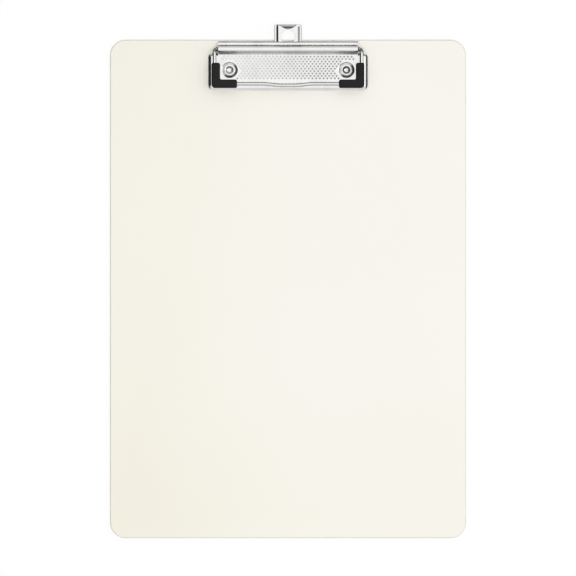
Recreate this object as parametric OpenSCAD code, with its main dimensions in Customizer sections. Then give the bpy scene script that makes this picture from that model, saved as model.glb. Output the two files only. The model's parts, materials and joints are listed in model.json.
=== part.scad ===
// Clipboard: a moulded plastic board with a low-profile wire clip. A stamped plate, riveted to
// the board, holds a spring wire bail in its rolled barrel. The bail's soft corner sleeves press
// the paper on the plate, and a flat hanger slides out from under the plate.
// Millimetres. The origin is at the centre of the board's back, +Y is towards the clip and +Z
// comes out of the board's front.

/* [Board] */
// Width of the board
board_w = 225; // [180:1:300]
// Length of the board, from its foot to the edge with the clip
board_l = 315; // [220:1:400]
// Thickness of the board
board_t = 2.5; // [2.4:0.1:4]
// Radius of the board's corners in plan
board_corner_r = 10; // [4:0.5:25]
// Radius of the rounding along the board's edges
board_edge_r = 0.9; // [0.4:0.1:1.1]

/* [Clip plate] */
// Thickness of the stamped steel
sheet_t = 0.8; // [0.6:0.1:0.9]
// Width of the plate across its two ears
plate_w = 100.6; // [98:0.2:120]
// Width of the plate along its barrel
barrel_w = 88.2; // [88:0.2:88.6]
// Length of the plate along the board
plate_l = 30.8; // [30:0.2:36]
// Distance from the board's top edge to the plate
plate_inset = 1.3; // [0.5:0.1:5]
// Distance from the plate's top edge to the ears
ear_drop = 7.4; // [7.4:0.1:10]
// Space between the board and the underside of the plate
plate_gap = 1.2; // [1.1:0.1:1.5]
// Slope of the turned-down rim
rim_turn = 40; // [38:1:60]
// Radius of the rim's bend, at mid-thickness
rim_bend_r = 0.9; // [0.7:0.1:1.1]
// Radius of the ears' top corners in plan
ear_corner_r = 2.5; // [2.4:0.1:3]
// Radius of the plate's foot corners in plan
foot_corner_r = 3.5; // [2.4:0.1:4]
// Distance from the plate's top edge to the axis of the barrel
barrel_inset = 4.7; // [4:0.1:5.1]
// Radius of the creases beside the barrel, at mid-thickness
crease_r = 0.7; // [0.6:0.1:1.2]

/* [Rivets] */
// Distance between the two rivets
rivet_spacing = 73.8; // [72:0.2:74]
// Distance from the plate's foot to the rivets
rivet_up = 12.9; // [11:0.1:14]
// Radius of a rivet's shank
shank_r = 2.2; // [2:0.1:2.4]
// Radius of the rolled head on the front
rivet_head_r = 3.6; // [3.2:0.1:3.6]
// Radius of the flat head sunk in the board's back
rivet_foot_r = 4.6; // [4:0.1:5]
// Radius of the flat floor of the dish that seats a rivet
dish_floor_r = 3.7; // [3.7:0.1:4.2]

/* [Wire bail] */
// Diameter of the spring wire
wire_d = 2.3; // [2:0.1:2.4]
// Radial play of the wire in the barrel
hinge_play = 0.07; // [0.03:0.01:0.1]
// Distance between the axes of the two legs
leg_spacing = 92.8; // [92.6:0.2:93.4]
// Distance from the hinge axis to the axis of the foot run
bail_reach = 22.05; // [21.8:0.05:22.4]
// Outward bow at the middle of the foot run
bow_depth = 1; // [0.4:0.1:1.4]

/* [Corner sleeves] */
// Width of a sleeve in plan
sleeve_w = 5.4; // [5:0.1:5.6]
// Height of a sleeve above the plate
sleeve_h = 4.6; // [4.2:0.1:5]
// Length of a sleeve along the leg
sleeve_up = 16; // [12:0.5:17]
// Length of a sleeve along the foot run
sleeve_across = 16.2; // [12:0.2:17]
// Radius of a sleeve's edges
sleeve_edge_r = 1.2; // [0.8:0.1:1.4]

/* [Hanger] */
// Width of the hanger's tab
hanger_w = 17.5; // [16:0.5:18]
// Thickness of the hanger's steel
hanger_t = 0.6; // [0.5:0.1:0.6]
// Height of the hanger above the board's top edge
hanger_out = 9.55; // [9:0.05:10]
// Radius of the hanging hole
hole_r = 4.4; // [3.5:0.1:4.6]
// Distance from the hanger's top edge to the centre of the hole
hole_down = 7.75; // [7.5:0.05:8]

/* [Hidden] */
$fn = 48;

// Allowance by which a cutter passes the face it cuts
past = 1;
// Largest turn between two neighbouring facets of a bent sheet
bend_step = 7.5;
// Fullness of a wire's bend over the wire, and the length that a straight stretch runs into it
bend_swell = 0.02;
bend_lap = 0.2;

// Heights above the board's back
seat_z = board_t;
under_z = seat_z + plate_gap;
mid_z = under_z + sheet_t / 2;
top_z = under_z + sheet_t;

// Places along the board
edge_y = board_l / 2;
plate_top_y = edge_y - plate_inset;
hinge_y = plate_top_y - barrel_inset;
ear_top_y = plate_top_y - ear_drop;
plate_foot_y = plate_top_y - plate_l;
rivet_y = plate_foot_y + rivet_up;

// Wire: its axis in the barrel, and the height of the part of the bail that lies over the plate
wire_r = wire_d / 2;
wire_lift = 0.75;
hinge_z = seat_z + wire_lift + wire_r;
rest_gap = 0.05;
bail_z = top_z + rest_gap + sleeve_h / 2;
leg_x = leg_spacing / 2;
foot_run_y = hinge_y - bail_reach;

// Barrel: the arch over the wire and the two creases meet at the same slope
arch_r = wire_r + hinge_play + sheet_t / 2;
arch_rise = hinge_z + arch_r - mid_z;
crease_turn = acos(1 - arch_rise / (arch_r + crease_r));
barrel_half = (arch_r + crease_r) * sin(crease_turn);

// Rim: a bend and a straight slope, whose lower edge stands on the board
rim_drop = mid_z - seat_z - rim_bend_r * (1 - cos(rim_turn)) - sheet_t / 2 * cos(rim_turn);
rim_slope = rim_drop / sin(rim_turn);
rim_w = micron(rim_bend_r * sin(rim_turn) + rim_slope * cos(rim_turn) + sheet_t / 2 * sin(rim_turn));

// Dish round a rivet: two equal bends and a short slope take the sheet down to the board
dish_bend_r = 0.9;
dish_turn = 40;
dish_slope = (plate_gap - 2 * dish_bend_r * (1 - cos(dish_turn))) / sin(dish_turn);
dish_r = micron(dish_floor_r + 2 * dish_bend_r * sin(dish_turn) + dish_slope * cos(dish_turn));

// Rivets: the head's crest, the mouth of its bore and the head sunk in the back
head_floor_z = seat_z + sheet_t;
head_h = 1;
mouth_r = 2.5;
bore_r = 1.5;
bore_depth = 0.6;
bore_floor_z = head_floor_z - bore_depth;
flare_depth = 0.2;
sink_depth = 0.8;
sink_gap = 0.1;

// Bail: bends of the wire, and the stub of it that turns in the barrel
elbow_r = 2;
corner_bend_r = 2.6;
bow_bend_r = 30;
stub_in_x = 24;
bow_out_x = 14.6;
bow_in_x = 5.4;
rise_run = bail_z - hinge_z;

// Sleeves: distance by which a leg lies outside the middle of its sleeve
leg_offset = 0.8;

// Wire ends: round in the barrel and flattened into a tang under the plate
split_gap = 0.15;
tang_w = 3.4;
tang_l = 8;
guide_gap = 0.15;
tang_in_x = hanger_w / 2 + guide_gap;
tang_out_x = tang_in_x + tang_w;

// Hanger: side strips on the board, a raised web, and a foot with two shoulders
slide_gap = 0.05;
hanger_out_travel = 5;
web_lift = plate_gap - hanger_t - 2 * slide_gap;
web_turn = 35;
web_bend_r = web_lift / 2 / (1 - cos(web_turn));
web_side = 2 * web_bend_r * sin(web_turn);
strip_w = 1.4;
hanger_top_y = edge_y + hanger_out;
hanger_mid_z = seat_z + slide_gap + hanger_t / 2;
stop_gap = 0.2;
foot_l = 4;
hanger_foot_y = hinge_y + wire_r - tang_l - hanger_out_travel - stop_gap - foot_l;
hanger_corner_r = 1;
lip_bend_r = 0.8;
lip_turn = 150;
lip_chord = 11;
lip_depth = 2.6;
lip_lap = 1;
lip_reach = lip_bend_r + hanger_t / 2;
lip_root_y = hanger_top_y - lip_reach;

// ---- Shared shapes ----

// A length rounded to a micron, so that faces that meet share their corners exactly
function micron(v) = round(v * 1000) / 1000;

// Places along a bent sheet at mid-thickness, each [x, y, heading], from the origin along +X.
// A move is [length] for a straight stretch or [radius, angle] for a bend, and a positive angle
// turns the sheet upwards.
function bend_places(moves, i = 0, at = [0, 0, 0]) =
    i == len(moves) ? [at] :
    len(moves[i]) == 1 ? concat([at], bend_places(moves, i + 1, after_run(at, moves[i][0]))) :
    let (r = moves[i][0], turn = moves[i][1], steps = ceil(abs(turn) / bend_step))
    concat([for (k = [0 : steps - 1]) after_bend(at, r, turn * k / steps)],
           bend_places(moves, i + 1, after_bend(at, r, turn)));

function after_run(at, run) = [at.x + run * cos(at.z), at.y + run * sin(at.z), at.z];

function after_bend(at, r, turn) =
    let (side = turn < 0 ? -1 : 1)
    [at.x + side * r * (sin(at.z + turn) - sin(at.z)),
     at.y - side * r * (cos(at.z + turn) - cos(at.z)),
     at.z + turn];

// Section of a bent sheet of thickness t
module bent_strip(moves, t) {
    places = bend_places(moves);
    left = [for (p = places) [micron(p.x - t / 2 * sin(p.z)), micron(p.y + t / 2 * cos(p.z))]];
    right = [for (p = places) [micron(p.x + t / 2 * sin(p.z)), micron(p.y - t / 2 * cos(p.z))]];
    polygon(concat(left, [for (i = [len(right) - 1 : -1 : 0]) right[i]]));
}

// Children hold a section in the Y-Z plane, extruded along X between two places
module along_x(x0, x1) {
    translate([x0, 0, 0])
        rotate([90, 0, 90])
            linear_extrude(x1 - x0)
                children();
}

// Children hold a section in the X-Z plane, extruded along Y between two places
module along_y(y0, y1) {
    translate([0, y1, 0])
        rotate([90, 0, 0])
            linear_extrude(y1 - y0)
                children();
}

// Children hold a section in the X-Z plane, turned through a quarter about Z at a corner
module round_corner(x, y, a0) {
    translate([x, y, 0])
        rotate([0, 0, a0])
            rotate_extrude(angle = 90)
                children();
}

// Children are drawn as they are and mirrored to the other side of the board
module both_sides() {
    children();
    mirror([1, 0, 0])
        children();
}

// Rectangle about the origin with four round corners
module round_rect(w, l, r) {
    square([w - 2 * r, l], center = true);
    square([w, l - 2 * r], center = true);
    for (sx = [-1, 1], sy = [-1, 1])
        translate([sx * (w / 2 - r), sy * (l / 2 - r)])
            circle(r);
}

function unit(v) = v / norm(v);

// Round bar of radius r along a route of points, with a bend of the radius given at each point.
// A bend is a little fuller than the bar, and the straight stretches run a short way into it.
module bent_bar(pts, radii, r) {
    last = len(pts) - 1;
    turns = [for (i = [1 : last - 1]) acos(unit(pts[i] - pts[i - 1]) * unit(pts[i + 1] - pts[i]))];
    takes = [for (i = [0 : last]) i == 0 || i == last ? 0 : radii[i] * tan(turns[i - 1] / 2)];
    laps = [for (i = [0 : last]) i == 0 || i == last ? 0 : bend_lap];
    for (i = [0 : last - 1]) {
        u = unit(pts[i + 1] - pts[i]);
        bar_start = pts[i] + (takes[i] - laps[i]) * u;
        bar_l = norm(pts[i + 1] - pts[i]) - takes[i] - takes[i + 1] + laps[i] + laps[i + 1];
        translate(bar_start)
            rotate([0, acos(u.z), atan2(u.y, u.x)])
                cylinder(bar_l, r, r);
    }
    for (i = [1 : last - 1]) {
        u = unit(pts[i] - pts[i - 1]);
        v = unit(pts[i + 1] - pts[i]);
        n = unit(cross(u, v));
        out = cross(u, n);
        centre = pts[i] - takes[i] * u - radii[i] * out;
        multmatrix([[out.x, u.x, n.x, centre.x],
                    [out.y, u.y, n.y, centre.y],
                    [out.z, u.z, n.z, centre.z],
                    [0, 0, 0, 1]])
            rotate_extrude(angle = turns[i - 1])
                translate([radii[i], 0])
                    circle(r + bend_swell);
    }
}

// ---- Board ----

// Section of the rounded edge, outwards from the flat part of the board
module board_edge_section() {
    translate([0, board_edge_r])
        square([board_edge_r, board_t - 2 * board_edge_r]);
    intersection() {
        square([board_edge_r, board_t]);
        for (z = [board_edge_r, board_t - board_edge_r])
            translate([0, z])
                circle(board_edge_r);
    }
}

module board_blank() {
    flat_w = board_w - 2 * board_edge_r;
    flat_l = board_l - 2 * board_edge_r;
    side_x = board_w / 2 - board_corner_r;
    side_y = board_l / 2 - board_corner_r;
    linear_extrude(board_t)
        round_rect(flat_w, flat_l, board_corner_r - board_edge_r);
    for (a = [0, 180]) {
        rotate([0, 0, a])
            along_y(-side_y, side_y)
                translate([flat_w / 2, 0])
                    board_edge_section();
        rotate([0, 0, a])
            along_x(-side_x, side_x)
                translate([flat_l / 2, 0])
                    board_edge_section();
    }
    for (sx = [0, 1], sy = [0, 1])
        mirror([sx, 0, 0])
            mirror([0, sy, 0])
                round_corner(side_x, side_y, 0)
                    translate([board_corner_r - board_edge_r, 0])
                        board_edge_section();
}

module board() {
    color([0.97, 0.95, 0.9])
        difference() {
            board_blank();
            both_sides()
                translate([rivet_spacing / 2, rivet_y, 0]) {
                    translate([0, 0, -past])
                        cylinder(board_t + 2 * past, shank_r, shank_r);
                    translate([0, 0, -past])
                        cylinder(sink_depth + past, rivet_foot_r, rivet_foot_r);
                }
        }
}

// ---- Clip plate ----

// Section across the plate's middle, from its top edge over the barrel to its foot
module barrel_section() {
    translate([plate_top_y, mid_z])
        mirror([1, 0])
            bent_strip([[barrel_inset - barrel_half],
                        [crease_r, crease_turn],
                        [arch_r, -2 * crease_turn],
                        [crease_r, crease_turn],
                        [plate_l - barrel_inset - barrel_half - rim_w],
                        [rim_bend_r, -rim_turn],
                        [rim_slope]], sheet_t);
}

// Section of the turned-down rim, with a flat stretch before it
module rim_section(flat = 0) {
    translate([0, mid_z])
        bent_strip(concat(flat > 0 ? [[flat]] : [], [[rim_bend_r, -rim_turn], [rim_slope]]), sheet_t);
}

// Ear at the right end of the plate, with a rim on its three free sides
module ear() {
    in_x = barrel_w / 2;
    rim_x = plate_w / 2 - rim_w;
    top_x = plate_w / 2 - ear_corner_r;
    foot_x = plate_w / 2 - foot_corner_r;
    top_y = ear_top_y - ear_corner_r;
    foot_y = plate_foot_y + foot_corner_r;
    translate([0, 0, under_z])
        linear_extrude(sheet_t) {
            translate([in_x, foot_y])
                square([rim_x - in_x, top_y - foot_y]);
            translate([in_x, plate_foot_y + rim_w])
                square([foot_x - in_x, foot_corner_r - rim_w]);
            translate([in_x, top_y])
                square([top_x - in_x, ear_corner_r - rim_w]);
        }
    along_y(foot_y, top_y)
        translate([rim_x, 0])
            rim_section();
    along_x(in_x, top_x)
        translate([ear_top_y - rim_w, 0])
            rim_section();
    along_x(in_x, foot_x)
        translate([plate_foot_y + rim_w, 0])
            mirror([1, 0])
                rim_section();
    round_corner(top_x, top_y, 0)
        rim_section(ear_corner_r - rim_w);
    round_corner(foot_x, foot_y, -90)
        rim_section(foot_corner_r - rim_w);
}

// Round dish that brings the sheet down to the board at a rivet
module dish() {
    rotate_extrude()
        translate([shank_r, seat_z + sheet_t / 2])
            bent_strip([[dish_floor_r - shank_r],
                        [dish_bend_r, dish_turn],
                        [dish_slope],
                        [dish_bend_r, -dish_turn]], sheet_t);
}

module clip_plate() {
    color([0.82, 0.83, 0.85]) {
        difference() {
            along_x(-barrel_w / 2, barrel_w / 2)
                barrel_section();
            both_sides()
                translate([rivet_spacing / 2, rivet_y, under_z - past])
                    cylinder(sheet_t + 2 * past, dish_r, dish_r);
        }
        both_sides() {
            ear();
            translate([rivet_spacing / 2, rivet_y, 0])
                dish();
        }
    }
}

// ---- Rivets ----

// Half section of a rivet: flat head in the board's back, shank, and rolled head with its mouth
module rivet_section() {
    roll_r = (rivet_head_r - mouth_r) / 2;
    roll_z = head_floor_z + head_h - roll_r;
    translate([0, sink_gap])
        square([rivet_foot_r, sink_depth - sink_gap]);
    translate([0, sink_depth])
        square([shank_r, bore_floor_z - sink_depth]);
    difference() {
        union() {
            translate([0, bore_floor_z])
                square([shank_r, head_floor_z - bore_floor_z]);
            translate([0, head_floor_z])
                square([rivet_head_r, head_h - roll_r]);
            intersection() {
                translate([mouth_r + roll_r, roll_z])
                    circle(roll_r);
                translate([mouth_r, roll_z])
                    square(2 * roll_r);
            }
        }
        polygon([[0, bore_floor_z],
                 [bore_r, bore_floor_z],
                 [bore_r, head_floor_z - flare_depth],
                 [mouth_r, roll_z],
                 [0, roll_z + past]]);
    }
}

module rivet() {
    color([0.8, 0.81, 0.83])
        translate([rivet_spacing / 2, rivet_y, 0])
            rotate_extrude()
                rivet_section();
}

module rivet_right() {
    rivet();
}

module rivet_left() {
    mirror([1, 0, 0])
        rivet();
}

// ---- Wire bail ----

// Route of the bail from one stub in the barrel, round the foot run, to the other stub
bail_half = [[stub_in_x, hinge_y, hinge_z],
             [leg_x, hinge_y, hinge_z],
             [leg_x, hinge_y - rise_run, bail_z],
             [leg_x, foot_run_y, bail_z],
             [bow_out_x, foot_run_y, bail_z],
             [bow_in_x, foot_run_y - bow_depth, bail_z]];
bail_half_radii = [0, elbow_r, elbow_r, corner_bend_r, bow_bend_r, bow_bend_r];
bail_last = len(bail_half) - 1;
bail_route = concat(bail_half, [for (i = [bail_last : -1 : 0]) [-bail_half[i].x, bail_half[i].y, bail_half[i].z]]);
bail_radii = concat(bail_half_radii, [for (i = [bail_last : -1 : 0]) bail_half_radii[i]]);

module wire_bail() {
    color([0.78, 0.79, 0.81])
        bent_bar(bail_route, bail_radii, wire_r);
}

// End of the same wire: a round stretch in the barrel, and a flat tang held under the plate
module wire_end() {
    tang_top_y = hinge_y + wire_r;
    tip_r = tang_w / 2;
    color([0.78, 0.79, 0.81]) {
        translate([tang_in_x + tip_r, hinge_y, hinge_z])
            rotate([0, 90, 0])
                cylinder(stub_in_x - split_gap - tang_in_x - tip_r, wire_r, wire_r);
        translate([0, 0, seat_z])
            linear_extrude(plate_gap) {
                translate([tang_in_x, tang_top_y - tang_l + tip_r])
                    square([tang_w, tang_l - tip_r]);
                translate([tang_in_x + tip_r, tang_top_y - tang_l + tip_r])
                    circle(tip_r);
            }
    }
}

module wire_end_right() {
    wire_end();
}

module wire_end_left() {
    mirror([1, 0, 0])
        wire_end();
}

// ---- Corner sleeves ----

// Plan of a sleeve's core, inside its rounded edges
module sleeve_core() {
    e = sleeve_edge_r;
    core_w = sleeve_w - 2 * e;
    out_x = leg_x - leg_offset + sleeve_w / 2 - e;
    foot_y = foot_run_y - sleeve_w / 2 + e;
    difference() {
        union() {
            translate([out_x - core_w, foot_y])
                square([core_w, sleeve_up - 2 * e]);
            translate([out_x - sleeve_across + 2 * e, foot_y])
                square([sleeve_across - 2 * e, core_w]);
        }
        translate([out_x - e, foot_y])
            difference() {
                translate([0, -past])
                    square([e + past, e + past]);
                translate([0, e])
                    circle(e);
            }
    }
}

module corner_sleeve() {
    color([0.13, 0.13, 0.14])
        difference() {
            translate([0, 0, bail_z - sleeve_h / 2 + sleeve_edge_r])
                minkowski() {
                    linear_extrude(sleeve_h - 2 * sleeve_edge_r)
                        sleeve_core();
                    sphere(sleeve_edge_r, $fn = 24);
                }
            bent_bar(bail_route, bail_radii, wire_r);
        }
}

module corner_sleeve_right() {
    corner_sleeve();
}

module corner_sleeve_left() {
    mirror([1, 0, 0])
        corner_sleeve();
}

// ---- Hanger ----

// Section across the tab: two side strips on the board and a raised web between them
module hanger_section() {
    translate([-hanger_w / 2, hanger_mid_z])
        bent_strip([[strip_w],
                    [web_bend_r, web_turn],
                    [web_bend_r, -web_turn],
                    [hanger_w - 2 * strip_w - 2 * web_side],
                    [web_bend_r, -web_turn],
                    [web_bend_r, web_turn],
                    [strip_w]], hanger_t);
}

// Plan of the tab with the hanging hole, and a notch in the top edge where the lip bends up
module tab_plan() {
    top_y = hanger_top_y - hanger_corner_r;
    side_x = hanger_w / 2 - hanger_corner_r;
    difference() {
        union() {
            translate([-hanger_w / 2, hanger_foot_y])
                square([hanger_w, top_y - hanger_foot_y]);
            translate([-side_x, top_y])
                square([2 * side_x, hanger_corner_r]);
            for (s = [-1, 1])
                translate([s * side_x, top_y])
                    circle(hanger_corner_r);
        }
        translate([0, hanger_top_y - hole_down])
            circle(hole_r);
        translate([-lip_chord / 2, lip_root_y])
            square([lip_chord, lip_reach + past]);
    }
}

// Finger lip: the web's end curls up and back, and its free edge is an arc in plan
module finger_lip() {
    web_z = hanger_mid_z + web_lift;
    bow_r = (lip_chord * lip_chord / 4 + lip_depth * lip_depth) / (2 * lip_depth);
    lip_run = (lip_depth - lip_reach + lip_bend_r * sin(lip_turn)) / -cos(lip_turn);
    difference() {
        along_x(-lip_chord / 2, lip_chord / 2)
            translate([lip_root_y - lip_lap, web_z])
                bent_strip([[lip_lap], [lip_bend_r, lip_turn], [lip_run + past]], hanger_t);
        translate([-lip_chord, lip_root_y - lip_chord, web_z + hanger_t / 2])
            difference() {
                cube([2 * lip_chord, 2 * lip_chord, lip_chord]);
                translate([lip_chord, lip_chord + lip_reach - lip_depth + bow_r, -past])
                    cylinder(lip_chord + 2 * past, bow_r, bow_r);
            }
    }
}

// Foot of the hanger: its two shoulders stop against the wire's ends
module hanger_shoulders() {
    both_sides()
        translate([hanger_w / 2 - strip_w, hanger_foot_y, hanger_mid_z - hanger_t / 2])
            linear_extrude(hanger_t)
                square([tang_out_x - hanger_w / 2 + strip_w, foot_l]);
}

module hanger() {
    color([0.84, 0.85, 0.87]) {
        intersection() {
            along_y(hanger_foot_y, hanger_top_y)
                hanger_section();
            linear_extrude(2 * top_z)
                tab_plan();
        }
        finger_lip();
        hanger_shoulders();
    }
}

board();
clip_plate();
rivet_left();
rivet_right();
wire_bail();
wire_end_left();
wire_end_right();
corner_sleeve_left();
corner_sleeve_right();
hanger();
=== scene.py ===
"""Flat clipboard with a low-profile wire clip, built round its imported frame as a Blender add-on."""

import json
from math import acos, asin, ceil, copysign, cos, hypot, pi, radians, sin, sqrt, tan

import bmesh
import bpy
from mathutils import Matrix, Quaternion, Vector


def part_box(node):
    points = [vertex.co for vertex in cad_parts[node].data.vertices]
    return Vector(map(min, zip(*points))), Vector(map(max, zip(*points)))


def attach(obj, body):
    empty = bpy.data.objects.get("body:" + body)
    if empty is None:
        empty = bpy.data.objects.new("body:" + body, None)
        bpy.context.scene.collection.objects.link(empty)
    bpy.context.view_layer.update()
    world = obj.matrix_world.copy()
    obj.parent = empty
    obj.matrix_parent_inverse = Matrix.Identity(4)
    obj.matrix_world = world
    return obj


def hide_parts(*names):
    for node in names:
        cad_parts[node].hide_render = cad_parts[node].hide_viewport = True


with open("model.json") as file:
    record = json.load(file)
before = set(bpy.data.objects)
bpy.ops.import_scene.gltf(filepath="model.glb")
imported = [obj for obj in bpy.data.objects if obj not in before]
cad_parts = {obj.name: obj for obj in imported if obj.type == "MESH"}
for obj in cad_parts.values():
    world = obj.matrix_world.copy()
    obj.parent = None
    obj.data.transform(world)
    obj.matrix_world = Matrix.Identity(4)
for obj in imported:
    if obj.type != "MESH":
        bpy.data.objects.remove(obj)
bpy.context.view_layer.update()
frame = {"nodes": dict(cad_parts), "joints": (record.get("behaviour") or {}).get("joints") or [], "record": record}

bl_info = {
    "name": "Wire-clip clipboard",
    "version": (1, 0, 0),
    "blender": (4, 5, 0),
    "location": "3D View > Sidebar > Clipboard",
    "description": "Builds the clipboard's pieces, finishes and stage round the packed frame",
    "category": "Object",
}

# ---- Places that the frame gives, and sizes that pieces and finishes share ----

MM = 0.001
TINY = MM / 1000
QUARTER = pi / 2
X_AXIS, Y_AXIS, Z_AXIS = Vector((1, 0, 0)), Vector((0, 1, 0)), Vector((0, 0, 1))

BOARD_LOW, BOARD_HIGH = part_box("board")
PLATE_LOW, PLATE_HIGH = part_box("clip_plate")
RIVET_LOW, RIVET_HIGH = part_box("rivet_right")
BAIL_LOW, BAIL_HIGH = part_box("wire_bail")
SLEEVE_LOW, SLEEVE_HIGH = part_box("corner_sleeve_right")
HANGER_LOW, HANGER_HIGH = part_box("hanger")
HINGE = Vector(next(j["pos_m"] for j in frame["joints"] if j["name"] == "bail_hinge"))
HOLE = next(m for m in frame["record"]["mounts"] if m["name"] == "hanging_hole")
HOLE_Y, HOLE_R = HOLE["pos_m"][1], HOLE["dims"]["r_mm"] * MM
SEAT_Z = BOARD_HIGH.z
RIVET_X = (RIVET_LOW.x + RIVET_HIGH.x) / 2
RIVET_Y = (RIVET_LOW.y + RIVET_HIGH.y) / 2
WIRE_R = 1.15 * MM
BARREL_HALF = 44.1 * MM  # from the middle to an end of the barrel
CREASE_OUT = 2.3 * MM  # from the hinge to a crease beside the barrel
RIVET_SHADOW_R = 4.45 * MM  # ring of painted shadow in a dish, round a rivet's head
TAB_HALF, FOLD_X = 8.75 * MM, 6.8 * MM  # from the middle to the hanger's sides and its folds

# Facets: round the board's corner, across a soft edge, round a rivet or dish, round the wire and along the barrel
CORNER_STEPS, EDGE_STEPS, ROUND_STEPS, WIRE_SIDES, BARREL_COLUMNS = 24, 6, 72, 28, 24
# Facets: round a rivet's sink, the hanger's hole and the floor, across the rim's bend and a small bend, over the lip
SINK_STEPS, HOLE_STEPS, FLOOR_STEPS, RIM_STEPS, SMALL_STEPS, LIP_ROWS, LIP_COLUMNS = 48, 64, 96, 8, 6, 16, 20
BEND_STEP, WIRE_STEP = radians(7.5), radians(6)  # the turn of one facet in the steel's bends and the wire's


# ---- Settings ----

def length(label, note, millimetres):
    """A length that a user may change."""
    return bpy.props.FloatProperty(
        name=label, description=note, default=millimetres * MM, min=0.0, precision=5, unit="LENGTH", subtype="DISTANCE"
    )


def turn(label, note, degrees):
    """An angle that a user may change."""
    return bpy.props.FloatProperty(
        name=label, description=note, default=radians(degrees), unit="ROTATION", subtype="ANGLE"
    )


def share(label, note, value, top=1.0):
    """A plain number from 0 to top."""
    return bpy.props.FloatProperty(name=label, description=note, default=value, min=0.0, max=top, precision=3)


def tint(label, note, value):
    """A colour."""
    return bpy.props.FloatVectorProperty(
        name=label, description=note, default=value, min=0.0, max=1.0, size=3, subtype="COLOR"
    )


class CLIPBOARD_PG_board(bpy.types.PropertyGroup):
    """Sizes of the board."""
    corner: length("Corner", "Radius of the board's corners in plan", 10)
    edge: length("Edge radius", "Rounding along the board's edges", 0.9)
    shank_hole: length("Rivet hole", "Radius of a hole for a rivet's shank", 2.2)
    sink: length("Sink", "Radius of the recess for a rivet's flat head", 4.6)
    sink_depth: length("Sink depth", "Depth of the recess in the board's back", 0.8)


class CLIPBOARD_PG_plate(bpy.types.PropertyGroup):
    """Sizes of the stamped clip plate and its knurl."""
    sheet: length("Sheet", "Thickness of the steel", 0.8)
    gap: length("Gap", "Space between the board and the flat underside", 1.2)
    barrel_w: length("Barrel length", "Width of the plate along its barrel", 88.2)
    ear_drop: length("Ear drop", "From the plate's top edge to its ears", 7.4)
    rim_turn: turn("Rim slope", "Slope of the turned-down rim", 40)
    rim_bend: length("Rim bend", "Radius of the rim's bend at mid-thickness", 0.9)
    ear_corner: length("Ear corner", "Radius of the ears' top corners in plan", 2.5)
    foot_corner: length("Foot corner", "Radius of the foot's corners in plan", 3.5)
    crease: length("Crease", "Radius of the creases beside the barrel, on the front", 0.3)
    wire_play: length("Wire play", "Radial play of the wire in the barrel", 0.07)
    dish_floor: length("Dish floor", "Radius of the flat floor round a rivet", 3.65)
    dish_hole: length("Dish hole", "Radius of the hole for a rivet's shank", 2.2)
    dish_bend: length("Dish bend", "Radius of the dish's bends at mid-thickness", 0.6)
    dish_turn: turn("Dish slope", "Slope of the dish's wall", 42)
    cut_edge: length("Cut edge", "Softness of the sheet's cut edges", 0.2)
    knurl_across: length("Knurl pitch across", "From bump to bump in a row", 2.354)
    knurl_row: length("Knurl row pitch", "From row to row of bumps", 1.517)
    knurl_half_w: length("Knurl half width", "Reach of the knurl from the middle", 43)
    knurl_top: length("Knurl top", "From the plate's top edge to the first row", 9.18)
    knurl_foot: length("Knurl foot", "From the plate's top edge to the last row", 25.4)
    plain_disc: length("Plain disc", "Radius without knurl round a rivet", 5.66)
    bump_base: length("Bump inset", "Flat ground from a cell's side to its bump", 0.22)
    bump_slope: length("Bump slope", "Width of a bump's sloped side", 0.65)
    bump_height: length("Bump height", "Height of a bump over the sheet", 0.34)
    bump_wear: share("Bump wear", "Share of the height lost at the end far from the foot's right corner", 0.45)
    foot_wear: share("Foot wear", "Share of the height pressed away by the wire", 0.5)
    foot_reach: length("Foot reach", "Reach of the wire's pressure from the last row", 1.8)
    sleeve_ground: length("Sleeve ground", "Plain ground under a sleeve, from its foot", 6)


class CLIPBOARD_PG_rivet(bpy.types.PropertyGroup):
    """Sizes of a tubular rivet."""
    shank: length("Shank", "Radius of the shank", 2.2)
    foot: length("Foot", "Radius of the flat head in the board's back", 4.6)
    foot_top: length("Foot top", "Height of the flat head's upper face", 0.8)
    head: length("Head", "Radius of the rolled head", 3.6)
    mouth: length("Mouth", "Radius where the rolled head turns into its mouth", 2.3)
    bore: length("Bore", "Radius of the bore's floor", 1.2)
    bore_depth: length("Bore depth", "Depth of the floor under the dish's floor", 0.25)
    brow: length("Brow", "Radius of the head's outer edge", 0.5)
    lip: length("Lip", "Radius of the mouth's edge", 0.4)
    nib: length("Foot edge", "Radius of the flat head's edge", 0.12)


class CLIPBOARD_PG_wire(bpy.types.PropertyGroup):
    """Sizes of the spring wire."""
    stub_in: length("Stub end", "Where the bail's stub ends in the barrel, from the middle", 24)
    elbow: length("Elbow radius", "Bend where the wire leaves the barrel", 2)
    corner: length("Corner radius", "Bend at the foot, inside a sleeve", 2.6)
    bow: length("Bow radius", "Bend at each end of the bow", 30)
    bow_depth: length("Bow depth", "Outward bow at the middle of the foot run", 1)
    bow_out: length("Bow start", "Where the bow starts, from the middle", 14.6)
    bow_in: length("Bow end", "Where the bow levels out, from the middle", 5.4)


class CLIPBOARD_PG_sleeve(bpy.types.PropertyGroup):
    """Sizes of a corner sleeve."""
    arm: length("Arm width", "Width of each arm in plan", 5.4)
    outer: length("Outer corner", "Radius of the outer corner in plan", 2.4)
    inner: length("Inner corner", "Radius of the inner corner in plan", 1.1)
    tip: length("End corner", "Radius of the corners at the ends", 1.25)
    edge: length("Edge radius", "Rounding along the arms", 1.2)


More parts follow.
